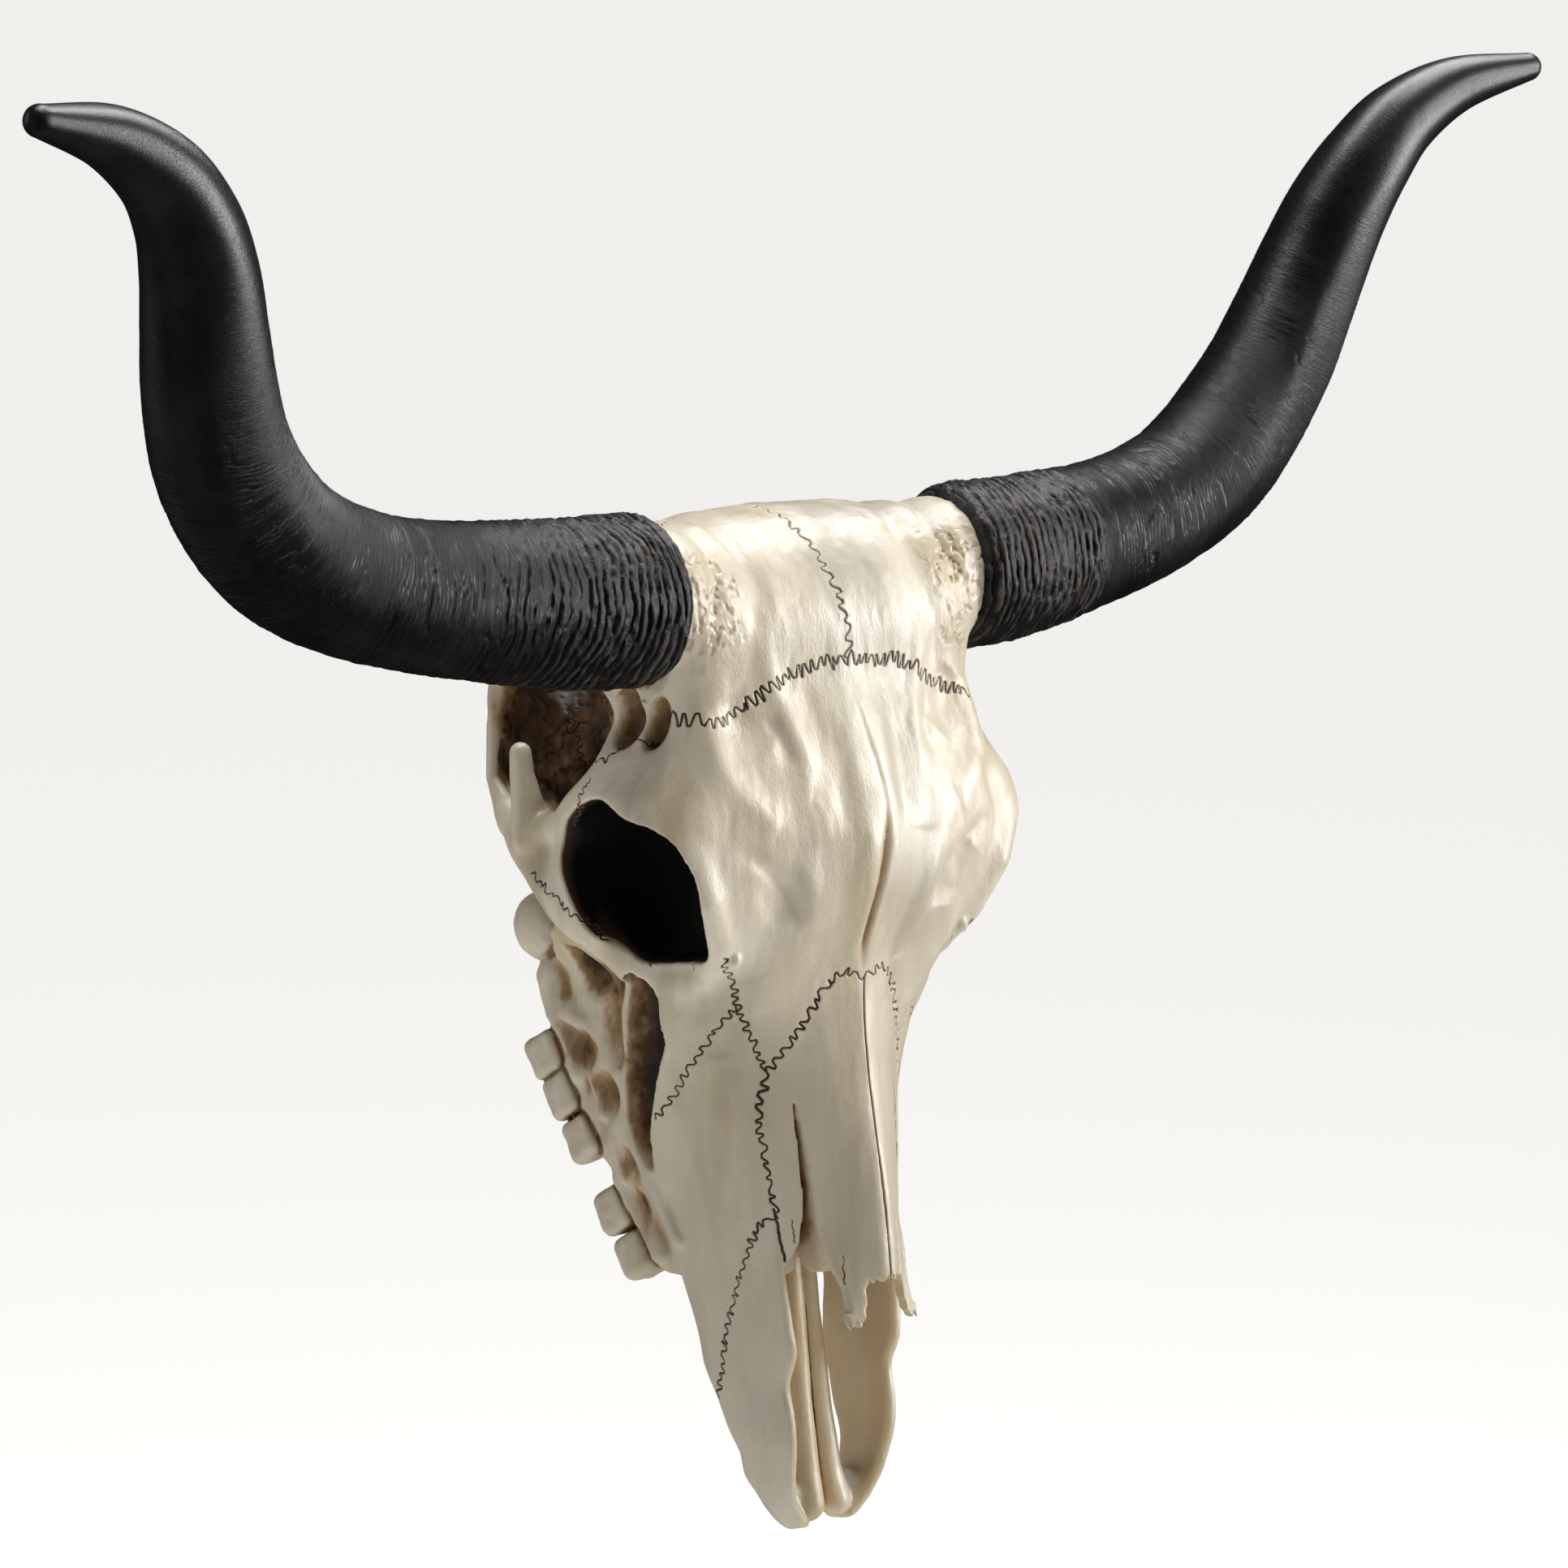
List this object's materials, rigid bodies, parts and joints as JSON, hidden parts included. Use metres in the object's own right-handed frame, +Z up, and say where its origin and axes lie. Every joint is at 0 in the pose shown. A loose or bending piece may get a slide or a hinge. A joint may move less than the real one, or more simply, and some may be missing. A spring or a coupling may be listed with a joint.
{
  "type": "resin cow skull wall trophy",
  "caption": "Life-size cast cow skull with black upswept horns and upper cheek teeth, flat at the back with a keyhole plate to hang on a wall.",
  "frame": {"origin": "centre of the flat-cut back of the cranium, on the wall plane", "axes": "+Z up, +Y into the wall, +X towards the tip of the left horn, the face looks along -Y and the nose hangs down"},
  "size_m": [0.954, 0.2279, 0.7225],
  "materials": {
    "bone": "cast resin, painted as old ivory bone with brown antiquing in its hollows and sutures, satin",
    "horn": "cast resin, near-black, rough growth rings at the base, semi-gloss towards the tip",
    "hanger": "zinc-plated sheet steel"
  },
  "bodies": {
    "root": {"cranium": "bone", "horn_left": "horn", "horn_right": "horn", "hanger_plate": "hanger"}
  },
  "joints": []
}
